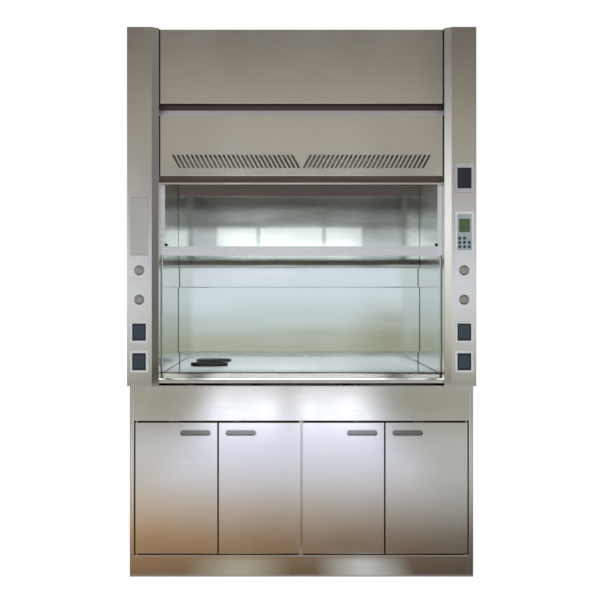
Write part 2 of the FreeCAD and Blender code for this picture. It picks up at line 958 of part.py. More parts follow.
def sheave():
    """Left cable sheave with hub, web and grooved rim."""
    half = sheave_width / 2
    outer = sheave_radius + sheave_rim
    groove_floor = sheave_radius - cable_radius - fit_gap
    rim_inner = groove_floor - sheave_rim_depth
    bore = axle_radius + axle_gap
    right_half = [
        (half, bore),
        (half, sheave_hub_radius),
        (sheave_web / 2, sheave_hub_radius),
        (sheave_web / 2, rim_inner),
        (half, rim_inner),
        (half, outer),
        (sheave_mouth_width / 2, outer),
        (sheave_groove_width / 2, groove_floor),
    ]
    left_half = [(-across, radius) for across, radius in reversed(right_half)]
    outline = [Vector(across, radius, 0) for across, radius in right_half + left_half]
    section = Part.Face(Part.makePolygon(outline + outline[:1]))
    wheel = section.revolve(Vector(0, 0, 0), Vector(1, 0, 0), 360)
    return wheel.translate(Vector(-cable_x, sheave_y, sheave_height))


def sheave_bracket():
    """Left bracket under the roof, and the axle through it, as two solids."""
    outer = sheave_width / 2 + bracket_gap + bracket_thickness
    low = sheave_height - bracket_foot
    high = body_height - sheet
    outline = [
        (-cable_x + outer, low),
        (-cable_x + outer, high),
        (-cable_x - outer, high),
        (-cable_x - outer, low),
    ]
    start = sheave_y - bracket_length / 2
    bracket = folded_sheet(outline, "y", start, start + bracket_length, bracket_thickness)
    across = Vector(1, 0, 0)
    foot = Vector(-cable_x - outer, sheave_y, sheave_height)
    axle = Part.makeCylinder(axle_radius, 2 * outer, foot, across)
    bracket = bracket.cut(axle)
    head_radius = axle_radius + axle_head
    heads = [
        Part.makeCylinder(head_radius, axle_head_length, foot - across * axle_head_length, across),
        Part.makeCylinder(head_radius, axle_head_length, foot + across * (2 * outer), across),
    ]
    return [bracket, joined(axle, heads)]


def vertical_cable(y, low):
    """Straight run of the left cable up to the height of the sheave's axle."""
    return Part.makeCylinder(cable_radius, sheave_height - low, Vector(-cable_x, y, low))


def cable_wrap():
    """Half turn of the left cable over its sheave."""
    start = Vector(-cable_x, sash_y, sheave_height)
    ring = Part.Wire(Part.makeCircle(cable_radius, start, Vector(0, 0, 1)))
    centre = Vector(-cable_x, sheave_y, sheave_height)
    return Part.Face(ring).revolve(centre, Vector(1, 0, 0), -180)


# Services in the columns

def framed(x, z, size, thickness):
    """Plate with bevelled front edges on a column's face."""
    plate = block(
        (x - size[0] / 2, x + size[0] / 2),
        (front_y - thickness, front_y),
        (z - size[1] / 2, z + size[1] / 2),
    )
    return bevel_edges(plate, edge_rounding, lambda middle: middle.y < front_y - thickness + 0.1)


def rear_box(x, z, size, depth):
    """Box behind a plate, through the column's face."""
    return block((x - size[0] / 2, x + size[0] / 2), (front_y, front_y + depth), (z - size[1] / 2, z + size[1] / 2))


def service_hole_cap(z):
    """Round blanking cap with a stem through the face."""
    along = Vector(0, 1, 0)
    outline = [
        (0, 0),
        (cap_radius, 0),
        (cap_radius, -cap_edge),
        (cap_radius * cap_shoulder, -cap_thickness + cap_edge),
        (cap_radius * cap_shoulder / 2, -cap_thickness),
        (0, -cap_thickness),
    ]
    corners = [Vector(across, y, 0) for across, y in outline]
    section = Part.Face(Part.makePolygon(corners + corners[:1]))
    head = section.revolve(Vector(0, 0, 0), along, 360).translate(Vector(-device_x, front_y, z))
    stem = Part.makeCylinder(cap_stem_radius, cap_stem_length, Vector(-device_x, front_y, z), along)
    return joined(head, [stem])


def socket_frame(z):
    """Frame of one power socket."""
    frame = framed(-device_x, z, socket_frame_size, socket_frame_thickness)
    opening = rear_box(-device_x, z, socket_face_size, 3 * socket_frame_thickness)
    opening.translate(Vector(0, -2 * socket_frame_thickness, 0))
    return frame.cut(opening)


def pin_slot(x, z, tilt):
    """Cutter for one slot of a socket."""
    front = front_y - socket_frame_thickness
    width, height = pin_slot_size
    slot = block((x - width / 2, x + width / 2), (front, front + pin_slot_depth), (z - height / 2, z + height / 2))
    slot.rotate(Vector(x, front, z), Vector(0, 1, 0), tilt)
    return slot


def socket_face(z):
    """Insert of one power socket, with its three slots."""
    front = front_y - socket_frame_thickness + socket_face_recess
    size = socket_face_size
    face = block(
        (-device_x - size[0] / 2, -device_x + size[0] / 2),
        (front, front_y + socket_depth),
        (z - size[1] / 2, z + size[1] / 2),
    )
    slots = [
        pin_slot(-device_x - pin_slot_spread, z + pin_slot_rise, pin_slot_tilt),
        pin_slot(-device_x + pin_slot_spread, z + pin_slot_rise, -pin_slot_tilt),
        pin_slot(-device_x, z - earth_slot_drop, 0),
    ]
    return face.cut(slots)


def on_both_columns(pieces):
    """Pieces of the left column and their copies on the right one."""
    across = Vector(2 * device_x, 0, 0)
    copies = [piece.translated(across) for piece in pieces]
    return Part.Compound(pieces + copies)


def access_cover():
    """Blank cover over the service hole of the left column."""
    plate = framed(-device_x, cover_height, cover_size, cover_thickness)
    spigot = rear_box(-device_x, cover_height, inset(cover_size, cover_box_margin), 3 * sheet)
    return joined(plate, [spigot])


def monitor_frame():
    """Frame of the airflow monitor with its box in the column."""
    plate = framed(device_x, monitor_height, monitor_size, monitor_thickness)
    box = rear_box(device_x, monitor_height, inset(monitor_size, cover_box_margin), monitor_depth)
    return joined(plate, [box]).cut(window_room())


def window_room():
    """Recess of the monitor window."""
    front = front_y - monitor_thickness
    width, height = monitor_window_size
    return block(
        (device_x - width / 2, device_x + width / 2),
        (front, front + window_recess + window_thickness),
        (window_height - height / 2, window_height + height / 2),
    )


def monitor_window():
    """Dark pane at the bottom of its recess."""
    front = front_y - monitor_thickness + window_recess
    width, height = inset(monitor_window_size, glass_gap)
    return block(
        (device_x - width / 2, device_x + width / 2),
        (front, front + window_thickness),
        (window_height - height / 2, window_height + height / 2),
    )


def key_places():
    """Name and centre of each controller key: a row of two above two rows of three."""
    rows = [(0, (-1, 0)), (1, (-1, 0, 1)), (2, (-1, 0, 1))]
    places = []
    for row, columns in rows:
        for column in columns:
            x = device_x + column * key_pitch_x
            z = first_key_row - row * key_pitch_z
            places.append(("key_%d" % (len(places) + 1), x, z))
    return places


def controller_case():
    """Controller housing with a screen recess and a bore for each key."""
    plate = framed(device_x, controller_height, controller_size, controller_thickness)
    box = rear_box(device_x, controller_height, inset(controller_size, cover_box_margin), controller_depth)
    width, height = screen_size
    screen_room = block(
        (device_x - width / 2, device_x + width / 2),
        (controller_front, controller_front + screen_recess + screen_thickness),
        (screen_height - height / 2, screen_height + height / 2),
    )
    depth = key_length - key_proud + key_travel + key_bottom_gap
    bores = [
        Part.makeCylinder(key_radius + key_gap, depth, Vector(x, controller_front, z), Vector(0, 1, 0))
        for name, x, z in key_places()
    ]
    return joined(plate, [box]).cut([screen_room] + bores)


def controller_screen():
    """Display pane at the bottom of its recess."""
    width, height = inset(screen_size, glass_gap)
    front = controller_front + screen_recess
    return block(
        (device_x - width / 2, device_x + width / 2),
        (front, front + screen_thickness),
        (screen_height - height / 2, screen_height + height / 2),
    )


def controller_key(x, z):
    """Round key with a bevelled front edge, standing proud of the case."""
    front = controller_front - key_proud
    key = Part.makeCylinder(key_radius, key_length, Vector(x, front, z), Vector(0, 1, 0))
    return bevel_edges(key, edge_rounding / 2, lambda middle: middle.y < front + 0.1)


# Cupboard base

def base_side():
    """Left side of the base, with its front strip and a foot flange on the floor."""
    outline = [
        (-strip_inner, base_rear),
        (-base_half, base_rear),
        (-base_half, fascia_y),
        (-strip_inner, fascia_y),
        (-strip_inner, fascia_y + strip_return),
    ]
    side = folded_sheet(outline, "z", 0, base_height)
    foot = block(
        (-base_half + sheet / 2, -base_half + foot_flange),
        (fascia_y + strip_return + sheet, base_rear - sheet),
        (0, sheet),
    )
    return joined(side, [foot])


def base_back():
    """Back sheet of the base."""
    inner = base_half - sheet - bend_radius
    return block((-inner, inner), (base_rear - 2 * sheet, base_rear - sheet), (plinth_height, base_height - sheet))


def door_places():
    """Name, left edge and hinge side of each door, from left to right."""
    names = ("door_1", "door_2", "door_3", "door_4")
    hinge_sides = (-1, 1, -1, 1)
    first = -door_span / 2
    step = door_width + door_gap
    return [(name, first + step * number, side) for number, (name, side) in enumerate(zip(names, hinge_sides))]


def hinge_x(left_edge, side):
    """Line of the pivot pins of a door."""
    if side < 0:
        return left_edge + pin_inset
    return left_edge + door_width - pin_inset


def pin_holes(low, high):
    """Holes for the pivot pins of the four doors."""
    return [
        Part.makeCylinder(pin_radius + pin_gap, high - low, Vector(hinge_x(left, side), hinge_y, low))
        for name, left, side in door_places()
    ]


def base_floor():
    """Floor of the cupboards, notched round the front strips."""
    floor_range = (plinth_height, plinth_height + sheet)
    inner = base_half - sheet - fit_gap
    notch_line = fascia_y + strip_return + sheet
    main = block((-inner, inner), (notch_line, base_rear - 2 * sheet), floor_range)
    tongue = block((-strip_inner, strip_inner), (fascia_y, notch_line), floor_range)
    return joined(main, [tongue]).cut(pin_holes(plinth_height - sheet, plinth_height + 2 * sheet))


def base_top():
    """Top of the cupboards, with the hole for the cup sink."""
    inner = base_half - sheet - fit_gap
    top = block(
        (-inner, inner),
        (fascia_y + flange, base_rear - 2 * sheet),
        (base_height - sheet, base_height),
    )
    return top.cut(sink_hole(base_height - 2 * sheet, base_height + sheet))


def base_partition():
    """Double wall between the two cupboards."""
    low = plinth_height + sheet
    front = fascia_y + apron_shelf + partition_shelf_gap
    rear = base_rear - 2 * sheet
    outline = [
        (-partition_width / 2, rear),
        (-partition_width / 2, front),
        (partition_width / 2, front),
        (partition_width / 2, rear),
    ]
    return folded_sheet(outline, "z", low, base_height - sheet)


def apron():
    """Front rail over the doors, with the pivot holes and a magnetic catch for each door."""
    outline = [
        (fascia_y + flange, base_height),
        (fascia_y, base_height),
        (fascia_y, apron_bottom),
        (fascia_y + apron_shelf, apron_bottom),
    ]
    rail = folded_sheet(outline, "x", -strip_inner, strip_inner)
    catches = []
    for name, left, side in door_places():
        free_edge = left + door_width - catch_inset - catch_width if side < 0 else left + catch_inset
        catches.append(block(
            (free_edge, free_edge + catch_width),
            (door_rear + catch_gap, door_rear + catch_gap + catch_depth),
            (door_top - catch_lap, apron_bottom),
        ))
    return joined(rail, catches).cut(pin_holes(apron_bottom - sheet, apron_bottom + 2 * sheet))


def plinth():
    """Kick plate under the doors."""
    outline = [
        (fascia_y + flange, plinth_height),
        (fascia_y, plinth_height),
        (fascia_y, 0),
        (fascia_y + flange, 0),
    ]
    plate = folded_sheet(outline, "x", -strip_inner, strip_inner)
    return plate.cut(pin_holes(plinth_height - 2 * sheet, plinth_height + sheet))


def door(left, side):
    """Door pan with a hemmed back, a rimmed pull pocket and two pivot pins."""
    right = left + door_width
    shell = block((left, right), (fascia_y, door_rear), (door_bottom, door_top))
    shell = rounded_edges(shell, door_rounding, lambda middle: middle.y < fascia_y + 0.1)
    hollow = block(
        (left + sheet, right - sheet),
        (fascia_y + sheet, door_rear - sheet),
        (door_bottom + sheet, door_top - sheet),
    )
    back_opening = block(
        (left + door_hem, right - door_hem),
        (door_rear - 2 * sheet, door_rear),
        (door_bottom + door_hem, door_top - door_hem),
    )
    if side < 0:
        pull_x = right - pull_inset - pull_length / 2
    else:
        pull_x = left + pull_inset + pull_length / 2
    centre = Vector(pull_x, fascia_y, door_top - pull_drop)
    proud = centre - Vector(0, pull_rim_rise, 0)
    cup = oblong(pull_length + 2 * sheet, pull_height + 2 * sheet, centre, "y", pull_depth + sheet)
    rim = oblong(pull_length + 2 * pull_rim, pull_height + 2 * pull_rim, proud, "y", pull_rim_rise + sheet)
    rim = bevel_edges(rim, pull_rim_rise / 2, lambda middle: middle.y < proud.y + 0.1)
    pocket = oblong(pull_length, pull_height, proud, "y", pull_rim_rise + pull_depth)
    x = hinge_x(left, side)
    head_reach = door_head_gap + pin_head_reach
    foot_reach = door_foot_gap + pin_foot_reach
    pins = [
        Part.makeCylinder(pin_radius, pin_root + head_reach, Vector(x, hinge_y, door_top - pin_root)),
        Part.makeCylinder(pin_radius, pin_root + foot_reach, Vector(x, hinge_y, door_bottom - foot_reach)),
    ]
    pan = shell.cut([hollow, back_opening])
    return joined(pan, [cup, rim] + pins).cut(pocket)


def build():
    """Every sub-part under its own name."""
    guide = sash_guide()
    liner = side_liner()
    panel = side_panel()
    side = base_side()
    bracket = sheave_bracket()
    sash_cable = vertical_cable(sash_y, lug_top)
    weight_cable = vertical_cable(weight_y, weight_top)
    parts = {
        "side_panels": Part.Compound([panel, mirrored(panel)]),
        "rear_panel": rear_panel(),
        "roof_panel": roof_panel(),
        "exhaust_collar": exhaust_collar(),
        "left_column": left_column(),
        "right_column": right_column(),
        "upper_fascia": upper_fascia(),
        "lower_fascia": lower_fascia(),
        "airfoil_sill": airfoil_sill(),
        "side_liners": Part.Compound([liner, mirrored(liner)]),
        "rear_liner": rear_liner(),
        "ceiling_liner": ceiling_liner(),
        "luminaire": luminaire(),
        "light_diffuser": light_diffuser(),
        "lower_baffle": lower_baffle(),
        "upper_baffle": upper_baffle(),
        "baffle_standoffs": baffle_standoffs(),
        "worktop": worktop(),
        "worktop_bearers": worktop_bearers(),
        "cup_sink": cup_sink(),
        "sash_guides": Part.Compound([guide, mirrored(guide)]),
        "sash_frame": sash_frame(),
        "sash_glass": sash_glass(),
        "sash_corner_blocks": sash_corner_blocks(),
        "left_counterweight": counterweight(),
        "right_counterweight": mirrored(counterweight()),
        "left_sheave": sheave(),
        "right_sheave": mirrored(sheave()),
        "sheave_brackets": Part.Compound(bracket + [mirrored(piece) for piece in bracket]),
        "sash_cables": Part.Compound([sash_cable, mirrored(sash_cable)]),
        "left_weight_cable": weight_cable,
        "right_weight_cable": mirrored(weight_cable),
        "cable_wraps": Part.Compound([cable_wrap(), mirrored(cable_wrap())]),
        "service_hole_caps": on_both_columns([service_hole_cap(z) for z in cap_heights]),
        "socket_frames": on_both_columns([socket_frame(z) for z in socket_heights]),
        "socket_faces": on_both_columns([socket_face(z) for z in socket_heights]),
        "access_cover": access_cover(),
        "monitor_frame": monitor_frame(),
        "monitor_window": monitor_window(),
        "controller_case": controller_case(),
        "controller_screen": controller_screen(),
        "base_sides": Part.Compound([side, mirrored(side)]),
        "base_back": base_back(),
        "base_floor": base_floor(),
        "base_top": base_top(),
        "base_partition": base_partition(),
        "apron": apron(),
        "plinth": plinth(),
    }
    for name, left, hinge_side in door_places():
        parts[name] = door(left, hinge_side)
    for name, x, z in key_places():
        parts[name] = controller_key(x, z)
    return parts


os.makedirs("parts", exist_ok=True)
for name, shape in build().items():
    shape.exportStep("parts/%s.step" % name)
    print(name, len(shape.Solids), "solids", round(shape.Volume / 1000.0, 1), "cm3", shape.isValid())
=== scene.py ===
import json
import math

import bmesh
import bpy
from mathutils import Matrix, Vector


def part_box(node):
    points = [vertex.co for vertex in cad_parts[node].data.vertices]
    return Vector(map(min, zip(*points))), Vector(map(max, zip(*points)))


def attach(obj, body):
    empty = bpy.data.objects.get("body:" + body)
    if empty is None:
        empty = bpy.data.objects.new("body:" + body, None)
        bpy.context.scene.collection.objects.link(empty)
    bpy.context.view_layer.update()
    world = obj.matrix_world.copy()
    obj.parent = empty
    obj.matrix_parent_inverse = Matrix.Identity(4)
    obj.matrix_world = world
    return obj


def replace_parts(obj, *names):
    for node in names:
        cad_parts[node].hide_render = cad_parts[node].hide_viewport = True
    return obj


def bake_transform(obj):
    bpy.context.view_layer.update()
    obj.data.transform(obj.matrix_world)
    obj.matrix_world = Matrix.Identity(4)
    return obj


# Looks of the ducted fume hood. Metres, in the frame of its solids: X right, Y to the back, Z up.

# Camera, level and a little left of the hood's middle
camera_place = (-0.074, -4.225, 1.224)
camera_lens = 53.16
camera_shift = (0.026, -0.00833)
camera_reach = 100.0

# Room that only reflections see, with the hood at its middle
room_half = 7.5
room_height = 5.0
room_lift = 0.004
wall_margin = 0.1
ceiling_margin = 0.01
plain_ceiling = (0.30, 0.29, 0.28)
middle_half = 1.7
side_front = -7.1
side_rear = -3.5

# Window in the wall opposite the hood, a dark lintel over it and a low cabinet on its right
window_left = -0.91
window_right = 0.89
window_low = 1.78
window_high = 2.06
window_bars = (-0.40, 0.42)
window_bar_width = 0.05
window_tint = (0.93, 0.97, 1.0)
window_glow = 2.7
lintel_half = 1.75
lintel_top = 2.68
lintel_colour = (0.13, 0.125, 0.12)
cabinet_across = (1.05, 1.75)
cabinet_height = 0.95
cabinet_colour = (0.40, 0.42, 0.30)

# Floor of that room: the glare of the window, the gap in it, and the patches that the plinth mirrors
glare_start = 1.5
glare_full = 3.2
glare_boost = 2.5
glare_gap = (-0.13, 0.06)
glare_gap_start = 4.8
glare_gap_share = 0.5
glare_gap_colour = (0.42, 0.41, 0.34)
plinth_patches = (((-0.42, -0.14), (0.55, 0.53, 0.40)), ((0.16, 0.40), (0.76, 0.79, 0.76)))
plinth_patch_end = 0.66
shine_half = 2.3
shine_start = 0.40
plain_floor = (0.44, 0.43, 0.41)

# Bench card along the sight line that the apron's head mirrors, with a dark top that stands in for the shade
# in front of the hood, and a light underside
bench_half = 1.3
bench_range = (-0.50, -1.30)
bench_thickness = 0.003
bench_shade_top = (0.10, 0.078, 0.070)
bench_under = (0.60, 0.60, 0.57)

# White floor and world, and the lamps that light the hood
floor_half = 30.0
floor_glow = 0.55
world_light = 0.6
lamp_aim = (0.0, 0.0, 1.1)
lamp_width = 2.2
key_place = (-2.4, -3.6, 3.4)
key_power = 60.0
fill_place = (2.8, -3.0, 2.2)
fill_power = 30.0

# Twisted cables, and black rubber beads beside the fascias, which also stand in for the shadow gaps there
strand_count = 4
strand_points = 3
strand_valley = 0.93
strand_pitch = 0.08
strand_step = 0.008
seal_width = 0.0035
seal_rise = 0.0025
seal_foot = 0.035
seal_head = 0.028
seal_turns = 10

# Coloured areas of the services, and the areas of painted shade on the doors and the apron
door_count = 4
socket_face = (0.059, 0.074)
socket_panel = (0.044, 0.054)
panel_inset = (0.0085, 0.011)
pull_size = (0.140, 0.030)
pull_inset = 0.096
pull_drop = 0.056
pocket_start = 0.0022
brow_height = 0.008
brow_rise = 0.012
catch_depth = 0.02
catch_range = (0.02, 0.005)

# Coloured areas of the fascias, the sash, the chamber and the sill: painted shade, highlight and reflection,
# besides the sash stiles and the liner joints
groove_height = 0.0248
strip_height = 0.0283
slot_count = 27
slot_width = 0.0065
slot_height = 0.054
slot_lean = 0.0295
slot_foot = 0.0700
slot_middle = 0.0407
slot_side = 0.0595
slot_edge = 0.0013
slot_margin = 0.4
stile_inset = 0.012
joint_width = 0.004
joint_side = 0.0005
band_low = 0.009
band_high = 0.036
band_swing = 0.004
shade_line_depth = 0.014
shade_line_swing = 0.006

# Further than any piece reaches, for a range that is open at one end
endless = 20.0

# Steel colours
panel_colour = (0.64, 0.615, 0.575)
liner_colour = (0.70, 0.72, 0.68)
base_colour = (0.63, 0.615, 0.60)
sill_colour = (0.72, 0.71, 0.69)
# Matt grey of the lower fascia's slanted head, a painted highlight of the light that its bevel catches
strip_highlight_colour = (0.39, 0.37, 0.385)
stile_colour = (0.80, 0.81, 0.84)
stile_metal = 0.3

# Painted shade and painted reflection, and the dark of the sealed joints
groove_shade_colour = (0.145, 0.108, 0.096)
pocket_shade_colour = (0.20, 0.195, 0.18)
rail_reflection_colour = (0.22, 0.19, 0.16)
joint_colour = (0.035, 0.035, 0.03)
shade_line_colour = (0.03, 0.03, 0.028)
gap_shade_colour = (0.02, 0.02, 0.02)

# Scale of the noise along each axis: the grain of a sheet, and its clouds, smudges and swells
brushed_level = (3.0, 3.0, 900.0)
brushed_liner = (4.0, 500.0, 500.0)
cloud_scale = (2.1, 2.1, 1.3)
smudge_scale = (9.0, 9.0, 6.0)
swell_scale = (1.1, 1.6, 6.5)
swell_height = 0.0016

# Glass and lamp pane
glass_index = 1.8
glass_colour = (0.93, 0.96, 0.95, 1.0)
glass_shadow = (0.9, 0.93, 0.92, 1.0)
lamp_colour = (0.97, 1.0, 1.0, 1.0)
lamp_glow = 3.5


# Shader nodes

def feed(tree, node, inputs):
    """Give each input of a node its value, or the socket that it is linked to."""
    for name, value in inputs.items():
        if isinstance(value, bpy.types.NodeSocket):
            tree.links.new(value, node.inputs[name])
        else:
            node.inputs[name].default_value = value


def add(tree, kind, inputs=None, **settings):
    """New shader node with its settings and inputs."""
    node = tree.nodes.new("ShaderNode" + kind)
    for name, value in settings.items():
        setattr(node, name, value)
    feed(tree, node, inputs or {})
    return node


def calculate(tree, operation, first, second=0.0):
    """Result of one operation on two values or sockets."""
    return add(tree, "Math", {0: first, 1: second}, operation=operation).outputs[0]


def product(tree, first, *others):
    """Product of factors, which is one where all of them are."""
    result = first
    for factor in others:
        result = calculate(tree, "MULTIPLY", result, factor)
    return result


def outside(tree, inside):
    """One where a factor is nothing, and nothing where it is one."""
    return calculate(tree, "SUBTRACT", 1.0, inside)


def ranged(tree, value, start, end, first=0.0, last=1.0):
    """A value's range, moved to a range of its own and held at its ends."""
    moved = add(tree, "MapRange", {
        "Value": value, "From Min": start, "From Max": end, "To Min": first, "To Max": last,
    })
    return moved.outputs["Result"]


def between(tree, value, low, high, soft):
    """One inside a range and nothing outside, with soft ends."""
    rise = ranged(tree, value, low - soft, low + soft)
    fall = ranged(tree, value, high - soft, high + soft, 1.0, 0.0)
    return product(tree, rise, fall)


def noise(tree, scale, detail=3.0, roughness=0.5):
    """Noise over the piece, with its own scale along each axis."""
    place = add(tree, "TexCoord").outputs["Object"]
    stretched = add(tree, "Mapping", {"Vector": place, "Scale": scale})
    cells = add(tree, "TexNoise", {
        "Vector": stretched.outputs["Vector"], "Scale": 1.0, "Detail": detail, "Roughness": roughness,
    })
    return cells.outputs["Fac"]


def spread(tree, factor, low, high):
    """The middle of a noise's range, moved to a range of its own."""
    return ranged(tree, factor, 0.3, 0.7, low, high)


def mixed(tree, factor, first, second):
    """The first colour where a factor is nothing, and the second where it is one."""
    mix = add(tree, "Mix", {0: factor}, data_type="RGBA")
    for socket, colour in ((6, first), (7, second)):
        if isinstance(colour, bpy.types.NodeSocket):
            tree.links.new(colour, mix.inputs[socket])
        else:
            mix.inputs[socket].default_value = colour + (1.0,)
    return mix.outputs[2]


def shaded(tree, colour, factor, change):
    """Colour that gets darker and lighter with a noise."""
    darker = tuple(part * (1 - change) for part in colour)
    lighter = tuple(min(1.0, part * (1 + change)) for part in colour)
    return mixed(tree, spread(tree, factor, 0.0, 1.0), darker, lighter)


def colour_steps(tree, value, top, steps):
    """Colour that goes through the steps as a value rises to the top."""
    share = calculate(tree, "DIVIDE", value, top)
    ramp = add(tree, "ValToRGB", {"Fac": share})
    points = ramp.color_ramp.elements
    for number, (height, colour) in enumerate(steps):
        point = points[number] if number < 2 else points.new(height / top)
        point.position = height / top
        point.color = colour + (1.0,)
    return ramp.outputs["Color"]


def place_on(tree):
    """The place on a piece, as its X, Y and Z."""
    return add(tree, "SeparateXYZ", {"Vector": add(tree, "TexCoord").outputs["Object"]}).outputs


def place_in_room(tree):
    """The place in the room, as its X, Y and Z."""
    return add(tree, "SeparateXYZ", {"Vector": add(tree, "NewGeometry").outputs["Position"]}).outputs


def patch(tree, centres, size, soft=0.0005):
    """One inside rectangles on the front of the hood, round their centres in X and Z."""
    place = place_on(tree)
    total = 0.0
    for x, z in centres:
        across = between(tree, place["X"], x - size[0] / 2, x + size[0] / 2, soft)
        upright = between(tree, place["Z"], z - size[1] / 2, z + size[1] / 2, soft)
        total = calculate(tree, "MAXIMUM", total, product(tree, across, upright))
    return total


# Materials of the hood. Each is made, and changed, as its material, its tree and its shader.

def new_material(name, kind="BsdfPrincipled"):
    """Material with one shader."""
    material = bpy.data.materials.new(name)
    material.use_nodes = True
    tree = material.node_tree
    tree.nodes.clear()
    shader = add(tree, kind)
    add(tree, "OutputMaterial", {"Surface": shader.outputs[0]})
    return material, tree, shader


def recolour(made, factor, colour):
    """Give part of a material another colour."""
    tree, shader = made[1:]
    before = shader.inputs["Base Color"].links[0].from_socket
    feed(tree, shader, {"Base Color": mixed(tree, factor, before, colour)})
    return made


def steel(name, colour, roughness, grain, stretch=0.0, unevenness=0.05, wave=0.0):
    """Brushed metal sheet.

    Stretch draws its highlights out along the height, and wave is the height of its swells.
    """
    made = new_material(name)
    tree, shader = made[1:]
    lines = noise(tree, grain, 2.0, 0.7)
    clouds = noise(tree, cloud_scale, 4.0, 0.55)
    smudges = noise(tree, smudge_scale, 5.0, 0.6)
    cloudy = spread(tree, clouds, -0.02, 0.02)
    smudged = spread(tree, smudges, -0.015, 0.015)
    brushed = spread(tree, lines, roughness - 0.02, roughness + 0.02)
    bump = add(tree, "Bump", {"Height": lines, "Strength": 0.05, "Distance": 0.0003}).outputs["Normal"]
    if wave:
        swell = noise(tree, swell_scale, 1.0, 0.3)
        swollen = add(tree, "Bump", {"Height": swell, "Strength": 1.0, "Distance": wave, "Normal": bump})
        bump = swollen.outputs["Normal"]
    feed(tree, shader, {
        "Metallic": 1.0,
        "Base Color": shaded(tree, colour, clouds, unevenness),
        "Roughness": calculate(tree, "ADD", calculate(tree, "ADD", cloudy, smudged), brushed),
        "Normal": bump,
    })
    if stretch:
        tangent = add(tree, "Tangent", direction_type="RADIAL", axis="Z")
        feed(tree, shader, {
            "Tangent": tangent.outputs["Tangent"], "Anisotropic": stretch, "Anisotropic Rotation": 0.25,
        })
    return made


def panel_sheet(name):
    """Steel of the casing, the columns and the fascias."""
    return steel(name, panel_colour, 0.15, brushed_level, stretch=0.9, unevenness=0.03)


def base_sheet(name):
    """Steel of the base and its doors."""
    return steel(name, base_colour, 0.11, brushed_level, stretch=0.85, unevenness=0.03)


def liner_sheet(name, roughness=0.11):
    """Steel of the chamber, a little wavy."""
    return steel(name, liner_colour, roughness, brushed_liner, unevenness=0.03, wave=swell_height)


def plastic(name, colour, roughness, change=0.06, pits=0.1):
    """Moulded plastic with a fine texture."""
    made = new_material(name)
    tree, shader = made[1:]
    clouds = noise(tree, (25.0, 25.0, 25.0), 4.0)
    texture = noise(tree, (900.0, 900.0, 900.0), 2.0)
    bump = add(tree, "Bump", {"Height": texture, "Strength": pits, "Distance": 0.0002})
    feed(tree, shader, {
        "Base Color": shaded(tree, colour, clouds, change),
        "Roughness": spread(tree, clouds, roughness - 0.05, roughness + 0.07),
        "Normal": bump.outputs["Normal"],
    })
    return made


def painted(name, colour, roughness):
    """Painted steel with a faint orange-peel surface."""
    return plastic(name, colour, roughness, change=0.03, pits=0.04)


def socket_insert(name):
    """Dark socket insert with a lighter middle panel."""
    low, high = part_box("socket_faces")
    x = high.x - socket_face[0] / 2
    heights = (low.z + socket_face[1] / 2, high.z - socket_face[1] / 2)
    centres = [(side * x, z) for side in (-1, 1) for z in heights]
    made = plastic(name, (0.006, 0.009, 0.013), 0.35)
    return recolour(made, patch(made[1], centres, socket_panel, soft=0.002), (0.022, 0.038, 0.055))


def controller_shell(name):
    """Light rim round a grey-green key panel."""
    low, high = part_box("controller_case")
    centre = ((low.x + high.x) / 2, (low.z + high.z) / 2)
    size = (high.x - low.x - 2 * panel_inset[0], high.z - low.z - 2 * panel_inset[1])
    made = plastic(name, (0.56, 0.59, 0.62), 0.4)
    return recolour(made, patch(made[1], [centre], size), (0.27, 0.33, 0.33))


def apron_steel(name):
    """Base steel with painted shade on its door catches, behind the line of the doors."""
    made = base_sheet(name)
    tree = made[1]
    place = place_on(tree)
    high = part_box("door_1")[1]
    behind = between(tree, place["Y"], high.y, high.y + catch_depth, soft=0.0002)
    level = between(tree, place["Z"], high.z - catch_range[0], high.z - catch_range[1], soft=0.0005)
    return recolour(made, product(tree, behind, level), gap_shade_colour)


def door_steel(name):
    """Base steel with painted shade inside the pull pockets, and a painted shadow under their upper edge."""
    made = base_sheet(name)
    tree = made[1]
    centres = []
    for number in range(1, door_count + 1):
        low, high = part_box("door_%d" % number)
        x = high.x - pull_inset if number % 2 else low.x + pull_inset
        centres.append((x, high.z - pull_drop))
    low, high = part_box("door_1")
    inside = between(tree, place_on(tree)["Y"], low.y + pocket_start, high.y, soft=0.0008)
    recolour(made, product(tree, inside, patch(tree, centres, pull_size)), pocket_shade_colour)
    brow_shadow_centres = [(x, z + brow_rise) for x, z in centres]
    brow_shadow = patch(tree, brow_shadow_centres, (pull_size[0], brow_height))
    return recolour(made, product(tree, inside, brow_shadow), shade_line_colour)


def groove_steel(name):
    """Panel steel with painted shade on the slanted foot of the upper fascia, in the groove between the
    fascias.
    """
    made = panel_sheet(name)
    tree = made[1]
    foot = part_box("upper_fascia")[0].z
    groove = between(tree, place_on(tree)["Z"], foot - endless, foot + groove_height, soft=0.0008)
    return recolour(made, groove, groove_shade_colour)


def slot_shade_rims(tree, place, foot, reach):
    """One on a thin rim round the bypass slots, where shade is painted, from the height of their feet and
    half the width of their panel.
    """
    lean = ranged(tree, place["Z"], foot, foot + slot_height, slot_lean, 0.0)
    aside = calculate(tree, "ADD", calculate(tree, "ABSOLUTE", place["X"]), lean)
    pitch = (reach - slot_side - slot_middle) / (slot_count - 1)
    turn = calculate(tree, "DIVIDE", calculate(tree, "SUBTRACT", aside, slot_middle), pitch)
    apart = calculate(tree, "PINGPONG", turn, 0.5)
    edge = (slot_width / 2 + slot_edge) * math.hypot(1, slot_lean / slot_height) / pitch
    at_slot = between(tree, apart, -endless, edge, soft=0.02)
    in_row = between(tree, turn, -slot_margin, slot_count - 1 + slot_margin, soft=0.01)
    level = between(tree, place["Z"], foot - slot_edge, foot + slot_height + slot_edge, soft=0.0004)
    return product(tree, at_slot, in_row, level)


